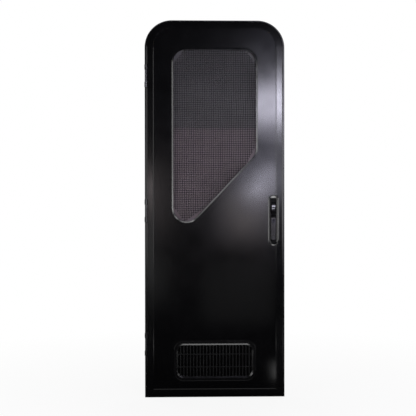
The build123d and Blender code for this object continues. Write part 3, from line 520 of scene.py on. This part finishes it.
def woven(lines, across, sign):
    """The same lines, dipped over and under the other set and drawn aside by slack."""
    where = add(weave_tree, "GeometryNodeInputPosition").outputs[0]
    here = add(weave_tree, "ShaderNodeVectorMath", {0: where, 1: BOTH_WAYS}, operation="DOT_PRODUCT")
    origin = add(weave_tree, "ShaderNodeVectorMath", {0: first_wires, 1: BOTH_WAYS}, operation="DOT_PRODUCT")
    walked = add(weave_tree, "ShaderNodeMath", {
        0: here.outputs["Value"], 1: origin.outputs["Value"]}, operation="SUBTRACT").outputs[0]
    wires = add(weave_tree, "ShaderNodeMath", {0: walked, 1: given["Pitch"]}, operation="DIVIDE").outputs[0]
    phase = add(weave_tree, "ShaderNodeMath", {0: wires, 1: math.pi}, operation="MULTIPLY").outputs[0]
    wave = add(weave_tree, "ShaderNodeMath", {0: phase}, operation="COSINE").outputs[0]
    depth = add(weave_tree, "ShaderNodeMath", {0: given["Dip"], 1: sign}, operation="MULTIPLY").outputs[0]
    dip = add(weave_tree, "ShaderNodeMath", {0: wave, 1: depth}, operation="MULTIPLY").outputs[0]
    sway = add(weave_tree, "ShaderNodeTexNoise", {
        "Vector": where, "Scale": given["Slack scale"], "Detail": 1.0}).outputs["Color"]
    sway = add(weave_tree, "ShaderNodeSeparateXYZ", {0: sway}).outputs[across]
    sway = add(weave_tree, "ShaderNodeMath", {0: sway, 1: 0.5}, operation="SUBTRACT").outputs[0]
    aside = add(weave_tree, "ShaderNodeMath", {0: sway, 1: given["Slack"]}, operation="MULTIPLY").outputs[0]
    shift = add(weave_tree, "ShaderNodeCombineXYZ", {"Y": dip, across: aside}).outputs[0]
    return add(weave_tree, "GeometryNodeSetPosition", {"Geometry": lines, "Offset": shift}).outputs[0]


both_sets = add(weave_tree, "GeometryNodeJoinGeometry")
for lines, across, sign in ((uprights, "X", 1.0), (levels, "Z", -1.0)):
    weave_tree.links.new(woven(lines, across, sign), both_sets.inputs[0])
print("woven sets,", len(weave_tree.nodes), "nodes")

# %% [markdown]
# The lines become wire when a small circle is drawn along them. Five sides are enough for a wire that is
# thinner than a pixel, and keep the mesh light.

# %% Round wire
WIRE_SIDES = 5
ring = add(weave_tree, "GeometryNodeCurvePrimitiveCircle", {
    "Resolution": WIRE_SIDES, "Radius": given["Wire radius"]})
wires = add(weave_tree, "GeometryNodeCurveToMesh", {
    "Curve": both_sets.outputs[0], "Profile Curve": ring.outputs[0], "Fill Caps": True})
real = add(weave_tree, "GeometryNodeRealizeInstances", {"Geometry": wires.outputs[0]})
dressed = add(weave_tree, "GeometryNodeSetMaterial", {"Geometry": real.outputs[0], "Material": given["Wire"]})
add(weave_tree, "NodeGroupOutput", {0: dressed.outputs[0]})
print("weave tree", len(weave_tree.nodes), "nodes")

# %% [markdown]
# A tree's result is live until it is asked for, and the export wants plain meshes. So one helper hangs
# the tree on a carrier mesh, sets its named inputs by their identifiers, asks for the evaluated mesh,
# and puts that in a new object that sits at the origin. The carrier goes, and its modifier with it.

# %% Turn a tree's result into a plain mesh
def grown(name, carrier_mesh, tree, values, body):
    """A plain mesh object made by a tree on a carrier mesh, riding on a body."""
    carrier = bpy.data.objects.new(name + "_carrier", carrier_mesh)
    bpy.context.scene.collection.objects.link(carrier)
    modifier = carrier.modifiers.new("grow", "NODES")
    modifier.node_group = tree
    for item in tree.interface.items_tree:
        if item.in_out == "INPUT" and item.name in values:
            modifier[item.identifier] = values[item.name]
    evaluated = carrier.evaluated_get(bpy.context.evaluated_depsgraph_get())
    mesh = bpy.data.meshes.new_from_object(evaluated)
    bpy.data.objects.remove(carrier)
    piece = bpy.data.objects.new(name, mesh)
    bpy.context.scene.collection.objects.link(piece)
    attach(piece, body)
    print(name, len(mesh.vertices), "points", sum(len(p.vertices) - 2 for p in mesh.polygons), "triangles")
    return piece


print("trees ready to grow", [tree.name for tree in bpy.data.node_groups])

# %% [markdown]
# The woven wires stand for the solid's twelve, which stay in the physics and are no longer shown.

# %% Weave the window's mesh
SOLID_WIRE_PITCH = 96 * MM
WIRES_PER_SOLID_WIRE = 9
SLACK_MM = 110
WEAVE_SIZES = {
    "Pitch": SOLID_WIRE_PITCH / WIRES_PER_SOLID_WIRE, "Wire radius": 1.3 * MM, "Dip": 0.4 * MM,
    "Slack": 9 * MM, "Slack scale": per_metre(SLACK_MM), "Wire": wire_coat,
}
mesh_carrier = frame["nodes"]["window_mesh"].data.copy()
woven_mesh = grown("woven_window_mesh", mesh_carrier, weave_tree, WEAVE_SIZES, "leaf")
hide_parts("window_mesh")

# %% [markdown]
# ## Duct of the vent
# The vent's outer and inner halves meet in a duct that lines the hole in the foam, so that no foam shows
# through the bars. It is four thin walls in one closed ring: an outer and an inner rectangle, drawn at
# the front and at the back, and joined by faces. A box with a Solidify modifier would do as well, but
# sixteen corners are few enough to write down.

# %% Duct between the fly mesh and the inside cover
DUCT_WALL = 1.5 * MM
DUCT_PLAY = 0.3 * MM
mesh_low, mesh_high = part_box("vent_fly_mesh")
front, back = mesh_high[1] + DUCT_PLAY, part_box("inner_skin")[1][1]
corners = []
for y in (front, back):
    for inset in (0, DUCT_WALL):
        left, right = mesh_low[0] + inset, mesh_high[0] - inset
        foot, head = mesh_low[2] + inset, mesh_high[2] - inset
        corners += [(left, y, foot), (right, y, foot), (right, y, head), (left, y, head)]
FRONT_OUTER, FRONT_INNER, BACK_OUTER, BACK_INNER = 0, 4, 8, 12
faces = []
for this in range(4):
    after = (this + 1) % 4
    faces += [
        (FRONT_OUTER + this, FRONT_OUTER + after, FRONT_INNER + after, FRONT_INNER + this),
        (BACK_OUTER + this, BACK_INNER + this, BACK_INNER + after, BACK_OUTER + after),
        (FRONT_OUTER + this, BACK_OUTER + this, BACK_OUTER + after, FRONT_OUTER + after),
        (FRONT_INNER + this, FRONT_INNER + after, BACK_INNER + after, BACK_INNER + this),
    ]
duct_mesh = bpy.data.meshes.new("vent_duct")
duct_mesh.from_pydata(corners, [], faces)
duct_mesh.materials.append(vent_plastic)
duct = bpy.data.objects.new("vent_duct", duct_mesh)
bpy.context.scene.collection.objects.link(duct)
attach(duct, "leaf")
print("duct", len(faces), "faces,", round((back - front) / MM, 1), "mm deep")

# %% [markdown]
# ## Screws
# The trims inside, the latch plates, the keepers and the jamb are screwed on. Heads copied by hand would
# stay behind when a size changes. So one tree makes a low tapered head with a cross recess and puts it on
# every point of a carrier mesh, turned to the way that the point faces.

# %% Tree that sets screw heads on points
CROWN_SHARE = 0.7
CROSS_LENGTH_SHARE = 1.1
CROSS_WIDTH_SHARE = 0.26
HEAD_SIDES = 20
screw_tree = bpy.data.node_groups.new("screw_heads", "GeometryNodeTree")
for name, kind, way in (
        ("Places", "NodeSocketGeometry", "INPUT"), ("Radius", "NodeSocketFloat", "INPUT"),
        ("Height", "NodeSocketFloat", "INPUT"), ("Metal", "NodeSocketMaterial", "INPUT"),
        ("Heads", "NodeSocketGeometry", "OUTPUT")):
    screw_tree.interface.new_socket(name, in_out=way, socket_type=kind)
given = add(screw_tree, "NodeGroupInput").outputs
crown, wide, thin = [
    add(screw_tree, "ShaderNodeMath", {0: given["Radius"], 1: share}, operation="MULTIPLY").outputs[0]
    for share in (CROWN_SHARE, CROSS_LENGTH_SHARE, CROSS_WIDTH_SHARE)]
head = add(screw_tree, "GeometryNodeMeshCone", {
    "Vertices": HEAD_SIDES, "Radius Top": crown, "Radius Bottom": given["Radius"],
    "Depth": given["Height"]}).outputs["Mesh"]
lift = add(screw_tree, "ShaderNodeCombineXYZ", {"Z": given["Height"]}).outputs[0]
for x, y in ((wide, thin), (thin, wide)):
    size = add(screw_tree, "ShaderNodeCombineXYZ", {"X": x, "Y": y, "Z": given["Height"]}).outputs[0]
    bar = add(screw_tree, "GeometryNodeMeshCube", {"Size": size}).outputs["Mesh"]
    bar = add(screw_tree, "GeometryNodeTransform", {"Geometry": bar, "Translation": lift}).outputs[0]
    cut = {"Mesh 1": head, "Mesh 2": bar}
    head = add(screw_tree, "GeometryNodeMeshBoolean", cut, operation="DIFFERENCE").outputs[0]
print("screw head,", len(screw_tree.nodes), "nodes")

# %% [markdown]
# The carrier's points have an attribute that says which way each one faces. A rotation made from it turns
# the head's own Z to that way.

# %% Heads on the points
facing = add(screw_tree, "GeometryNodeInputNamedAttribute", {"Name": "facing"}, data_type="FLOAT_VECTOR")
turn = add(screw_tree, "FunctionNodeAlignRotationToVector", {"Vector": facing.outputs[0]}, axis="Z")
points = add(screw_tree, "GeometryNodeMeshToPoints", {"Mesh": given["Places"]})
heads = add(screw_tree, "GeometryNodeInstanceOnPoints", {
    "Points": points.outputs[0], "Instance": head, "Rotation": turn.outputs[0]})
real = add(screw_tree, "GeometryNodeRealizeInstances", {"Geometry": heads.outputs[0]})
dressed = add(screw_tree, "GeometryNodeSetMaterial", {
    "Geometry": real.outputs[0], "Material": given["Metal"]})
add(screw_tree, "NodeGroupOutput", {0: dressed.outputs[0]})


def screws(name, places, radius, height, metal, body):
    """Screw heads at places, each a point on a surface and the way that it faces."""
    carrier = bpy.data.meshes.new(name + "_places")
    carrier.from_pydata([point for point, way in places], [], [])
    ways = carrier.attributes.new("facing", "FLOAT_VECTOR", "POINT")
    for index, (point, way) in enumerate(places):
        ways.data[index].vector = way
    sizes = {"Radius": radius, "Height": height, "Metal": metal}
    return grown(name, carrier, screw_tree, sizes, body)


print("screw tree", len(screw_tree.nodes), "nodes")

# %% [markdown]
# Screws inside hold the window's trim, the vent's cover and the handle plate. Their places are shares of
# each trim's height or width, a little in from its edge, so they follow the trim when its size changes.

# %% Screws of the trims inside
INWARDS = (0, 1, 0)


def between(low, high, share):
    """A place between two ends, at a share of the way."""
    return low + (high - low) * share


def trim_places(node, inset, left=(), right=(), foot=(), head=()):
    """Points on a trim's inner face, at shares along each of its sides."""
    low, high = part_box(node)
    spots = [(low[0] + inset, between(low[2], high[2], share)) for share in left]
    spots += [(high[0] - inset, between(low[2], high[2], share)) for share in right]
    spots += [(between(low[0], high[0], share), low[2] + inset) for share in foot]
    spots += [(between(low[0], high[0], share), high[2] - inset) for share in head]
    return [((x, high[1], z), INWARDS) for x, z in spots]


places = trim_places("window_inner_trim", 4 * MM,
                     left=(0.12, 0.37, 0.62, 0.87), right=(0.5, 0.7, 0.87), head=(0.25, 0.5, 0.75))
places += trim_places("vent_inner_cover", 10 * MM,
                      left=(0.3, 0.7), right=(0.3, 0.7), foot=(0.25, 0.75), head=(0.25, 0.75))
places += trim_places("inner_handle_plate", 13 * MM, foot=(0.5,), head=(0.5,))
screws("trim_screws", places, radius=2.6 * MM, height=1.6 * MM,
       metal=handle_coat, body="leaf")

# %% [markdown]
# The latch plates on the leaf's edge and the keepers on the jamb have a screw above and below each slot.
# The levels of a plate's corners tell where its ends and its slot are.

# %% Screws of the latch plates
LEVELS_PER_PLATE = 4


def plate_screw_heights(node):
    """Heights halfway between each plate's ends and its slot, read from the levels of its corners."""
    levels = sorted({round(corner.co.z, 4) for corner in frame["nodes"][node].data.vertices})
    heights = []
    for index in range(0, len(levels), LEVELS_PER_PLATE):
        foot, slot_foot, slot_head, head = levels[index:index + LEVELS_PER_PLATE]
        heights += [(foot + slot_foot) / 2, (slot_head + head) / 2]
    return heights


latch_low, latch_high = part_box("latch_plates")
latch_y = (latch_low[1] + latch_high[1]) / 2
latch_places = [((latch_high[0], latch_y, z), (1, 0, 0)) for z in plate_screw_heights("latch_plates")]
screws("latch_screws", latch_places, radius=3.0 * MM, height=0.8 * MM,
       metal=plated_steel, body="leaf")

# %% [markdown]
# The jamb is fixed through its wall, five screws to a side. The end ones sit at the holes in the solid.

# %% Screws of the keepers and the jamb
HOLE_FROM_END = 196.5 * MM
HOLE_FROM_BACK = 7.5 * MM
JAMB_SCREW_SHARES = (0, 0.25, 0.5, 0.75, 1)
keeper_low, keeper_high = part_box("keeper_plates")
jamb_places = [((keeper_low[0], latch_y, z), (-1, 0, 0)) for z in plate_screw_heights("keeper_plates")]
wall_x = keeper_high[0]
wall_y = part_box("jamb_wall_stiles")[1][1] - HOLE_FROM_BACK
for share in JAMB_SCREW_SHARES:
    z = between(HOLE_FROM_END, cad_box[1][2] - HOLE_FROM_END, share)
    for side in (-1, 1):
        jamb_places.append(((side * wall_x, wall_y, z), (-side, 0, 0)))
screws("jamb_screws", jamb_places, radius=3.4 * MM, height=0.8 * MM,
       metal=plated_steel, body="jamb")

# %% [markdown]
# ## Studio
# The door stands on a pale floor against white. White must not mirror in the black panel, so the floor is
# white only where the camera sees it, and nearly dark where a glossy face mirrors it. Close to the door
# the camera sees a share of the lit floor, so that the door keeps its shadow.

# %% Floor
FLOOR_SIZE = 24
MIRRORED_FLOOR = 0.012
SHADOW_NEAR, SHADOW_FAR = 0.4, 2.2
WHITE_SHARE_NEAR = 0.9
bpy.ops.mesh.primitive_plane_add(size=FLOOR_SIZE)
floor = bpy.context.object
floor.name = "studio_floor"
pale, tree, surface, place = new_material("pale_studio_floor")
lit = add(tree, "ShaderNodeBsdfDiffuse", {"Color": linear("#e8e8e8")})
glow = add(tree, "ShaderNodeEmission", {"Color": linear("#ffffff"), "Strength": 1.0})
dim = add(tree, "ShaderNodeEmission", {"Color": linear("#ffffff"), "Strength": MIRRORED_FLOOR})
ray = add(tree, "ShaderNodeLightPath").outputs
away = add(tree, "ShaderNodeVectorMath", {0: place}, operation="LENGTH").outputs["Value"]
white = add(tree, "ShaderNodeMapRange", {
    "Value": away, "From Min": SHADOW_NEAR, "From Max": SHADOW_FAR,
    "To Min": WHITE_SHARE_NEAR, "To Max": 1.0})
seen = add(tree, "ShaderNodeMixShader", {0: white.outputs[0], 1: lit.outputs[0], 2: glow.outputs[0]})
mirrored = add(tree, "ShaderNodeMixShader", {0: ray["Is Glossy Ray"], 1: lit.outputs[0], 2: dim.outputs[0]})
shown = add(tree, "ShaderNodeMixShader", {
    0: ray["Is Camera Ray"], 1: mirrored.outputs[0], 2: seen.outputs[0]})
tree.links.new(shown.outputs[0], surface)
floor.data.materials.append(pale)
print("floor", FLOOR_SIZE, "m wide")

# %% [markdown]
# The air is white for the camera alone. For all other rays it depends on their way: dark in front of the
# door, where the flat panel looks, and lit at the sides and behind, where the edges and the inside look.
# High up it is darker again, so that the door's top edges stay black.

# %% Air
FRONT_AIR, SIDE_AIR = 0.02, 0.7
FRONT_WAY, SIDE_WAY = -0.5, -0.15
LEVEL_AIR, HIGH_AIR = 1.0, 0.2
LEVEL_WAY, HIGH_WAY = 0.3, 0.8
world = bpy.data.worlds.new("studio_air")
bpy.context.scene.world = world
world.use_nodes = True
tree = world.node_tree
tree.nodes.clear()
way = add(tree, "ShaderNodeTexCoord").outputs["Generated"]
way = add(tree, "ShaderNodeSeparateXYZ", {0: way}).outputs
above = add(tree, "ShaderNodeMapRange", {
    "Value": way["Z"], "From Min": LEVEL_WAY, "From Max": HIGH_WAY, "To Min": LEVEL_AIR, "To Max": HIGH_AIR})
aside = add(tree, "ShaderNodeMapRange", {
    "Value": way["Y"], "From Min": FRONT_WAY, "From Max": SIDE_WAY, "To Min": FRONT_AIR, "To Max": SIDE_AIR})
level = add(tree, "ShaderNodeMath", {
    0: aside.outputs[0], 1: above.outputs[0]}, operation="MULTIPLY").outputs[0]
ray = add(tree, "ShaderNodeLightPath").outputs
level = add(tree, "ShaderNodeMath", {0: level, 1: ray["Is Camera Ray"]}, operation="MAXIMUM").outputs[0]
air = add(tree, "ShaderNodeBackground", {"Color": linear("#ffffff"), "Strength": level})
add(tree, "ShaderNodeOutputWorld", {"Surface": air.outputs[0]})
print("air from", FRONT_AIR, "in front to", SIDE_AIR, "at the sides")

# %% [markdown]
# ## Lamps
# A flat black panel works as a mirror: a lamp shows where the panel sends the camera's view to it. One
# helper makes a soft box of a given brightness. The other takes the place on the panel where a highlight
# should sit and puts the soft box at the matching place in front of the door, so the lights are written
# as what they look like.

# %% Lamps at given places or by their mirror images
CAMERA_PLACE = (-0.13614, -4.0, 0.92797)
WHITE = "#ffffff"


def area_lamp(name, place, turn, size, radiance, colour=WHITE, spread=180):
    """A soft box of a given brightness; its power follows from its size."""
    lamp = bpy.data.lights.new(name, "AREA")
    lamp.shape = "RECTANGLE"
    lamp.size, lamp.size_y = size
    lamp.energy = radiance * math.pi * size[0] * size[1]
    lamp.color = linear(colour)[:3]
    lamp.spread = math.radians(spread)
    holder = bpy.data.objects.new(name, lamp)
    holder.location = place
    holder.rotation_euler = [math.radians(angle) for angle in turn]
    holder.visible_camera = False
    bpy.context.scene.collection.objects.link(holder)
    return holder


def mirrored_lamp(name, x, z, half_x, half_z, radiance, colour=WHITE, tilt=0, distance=2.5):
    """A soft box whose image on the panel is centred at x, z with the given half sizes."""
    grow = 1 + distance / -CAMERA_PLACE[1]
    place = (x + (x - CAMERA_PLACE[0]) * (grow - 1), -distance, z + (z - CAMERA_PLACE[2]) * (grow - 1))
    size = (2 * half_x * grow, 2 * half_z * grow)
    return area_lamp(name, place, (90, -tilt, 0), size, radiance, colour)


print("camera will stand", -CAMERA_PLACE[1], "m before the door")

# %% [markdown]
# The door shows a cool highlight beside the window, a slanting one below the window's sloped foot, and a
# warm haze under that. The images of the wings lie past the door's edge: the frame's lip faces a little
# outwards and mirrors them. The fills and the other glows are fainter, and lift parts of the panel from
# plain black.

# %% Lamps that the flat panel mirrors
COOL = "#eeecff"
SKY = "#dcdeff"
WARM = "#fff2f4"
mirrored_lamp("key_soft_box", x=0.265, z=1.392, half_x=0.130, half_z=0.080, radiance=20, colour=COOL, tilt=5)
mirrored_lamp("key_wing", x=0.530, z=1.410, half_x=0.150, half_z=0.075, radiance=41, colour=COOL)
mirrored_lamp("second_soft_box", x=0.232, z=1.020, half_x=0.085, half_z=0.027,
              radiance=26, colour=COOL, tilt=45)
mirrored_lamp("second_wing", x=0.550, z=1.040, half_x=0.100, half_z=0.060, radiance=6.0, colour=COOL)
mirrored_lamp("second_glow", x=0.145, z=0.880, half_x=0.100, half_z=0.115, radiance=1.9, colour=WARM)
mirrored_lamp("wide_fill", x=0.240, z=1.130, half_x=0.240, half_z=0.370, radiance=0.48, colour=SKY)
mirrored_lamp("head_fill", x=0.330, z=1.690, half_x=0.130, half_z=0.100, radiance=0.30, colour=SKY)
mirrored_lamp("left_fill", x=-0.290, z=0.950, half_x=0.080, half_z=0.160, radiance=0.5, colour=WARM)
mirrored_lamp("left_wing", x=-0.460, z=0.985, half_x=0.090, half_z=0.075, radiance=5.4, colour=WARM)
mirrored_lamp("left_low_wing", x=-0.460, z=0.690, half_x=0.090, half_z=0.160, radiance=1.1)
mirrored_lamp("left_low_glow", x=-0.285, z=0.560, half_x=0.038, half_z=0.090, radiance=0.45)
mirrored_lamp("low_fill", x=0.110, z=0.500, half_x=0.170, half_z=0.140, radiance=0.13, distance=1.2)
mirrored_lamp("foot_glow", x=0.290, z=0.125, half_x=0.020, half_z=0.040, radiance=1.4, distance=0.45)
print("lamps before the panel", len(bpy.data.lights))

# %% [markdown]
# Sloped edges mirror at twice their slope. The edges of the rim, the lip and the lock slope by about 25
# degrees, which sends the camera's view 50 degrees aside, so soft boxes stand there to the left and right
# and draw the upright lines. For the level lines, soft boxes lie near the floor: a wide one for the rim's
# foot, small ones for the lock, the vent and the door's foot, and two at the sides for edges that face
# down and sideways. Where their spread is narrowed, the flat panel mirrors them only in high views.

# %% Lamps that the sloped edges mirror
area_lamp("left_soft_box", (-1.705, -1.83, 1.15), turn=(90, 0, -43), size=(0.9, 1.9), radiance=2.2)
area_lamp("left_edge_box", (-2.12, -1.27, 1.3), turn=(90, 0, -54.7), size=(0.3, 1.6), radiance=1.7)
area_lamp("right_soft_box", (2.07, -1.40, 1.24), turn=(90, 0, 56), size=(1.0, 1.12), radiance=1.9)
area_lamp("right_edge_box", (2.115, -1.097, 1.3), turn=(90, 0, 58.5), size=(0.3, 1.5), radiance=1.3)
area_lamp("low_soft_box", (0.1, -0.795, 0.02), turn=(180, 0, 1.5), size=(1.4, 0.69), radiance=1.5, spread=105)
area_lamp("vent_low_box", (0.0, -0.15, 0.06), turn=(149.5, 0, 0), size=(0.6, 0.14), radiance=0.3, spread=42)
area_lamp("foot_strip_box", (0.0, -0.06, 0.02), turn=(180, 0, 0), size=(0.62, 0.1), radiance=0.3, spread=105)
area_lamp("lock_left_box", (-1.63, -1.478, 0.79), turn=(90, 0, -52), size=(0.3, 0.5), radiance=4.0)
area_lamp("lock_low_box", (0.30, -0.65, 0.03), turn=(180, 0, 0), size=(0.3, 0.35), radiance=3.0, spread=105)
area_lamp("low_right_box", (1.20, -1.15, 0.02), turn=(180, 0, 0), size=(0.7, 0.9), radiance=2.0)
area_lamp("low_left_box", (-1.15, -1.15, 0.02), turn=(180, 0, 0), size=(0.7, 0.9), radiance=2.0)
print("lamps with those of the edges", len(bpy.data.lights))

# %% [markdown]
# Two more soft boxes stand behind the door. They light its inside for the views from behind.

# %% Lamps behind the door
area_lamp("back_left_box", (-2.2, 2.6, 1.9), turn=(90, 0, -140), size=(1.4, 1.4), radiance=5)
area_lamp("back_right_box", (1.4, 3.0, 2.3), turn=(75, 0, 155), size=(1.2, 1.2), radiance=7)

# %% [markdown]
# ## Camera
# The photograph looks square on at the door, and is taken to be from about four metres away. The lens
# follows from the door's size in the picture, and the small turns from its place and lean there.

# %% Camera at the photograph's angle
SENSOR_MM = 36
LENS_MM = 72.69
CAMERA_TURN = (90 - 0.383, 0.06, -1.489)
lens = bpy.data.cameras.new("photo_camera")
lens.sensor_width = SENSOR_MM
lens.lens = LENS_MM
camera = bpy.data.objects.new("photo_camera", lens)
camera.location = CAMERA_PLACE
camera.rotation_euler = [math.radians(angle) for angle in CAMERA_TURN]
bpy.context.scene.collection.objects.link(camera)
bpy.context.scene.camera = camera
bpy.context.scene.view_settings.view_transform = "Standard"
print("camera at", CAMERA_PLACE)
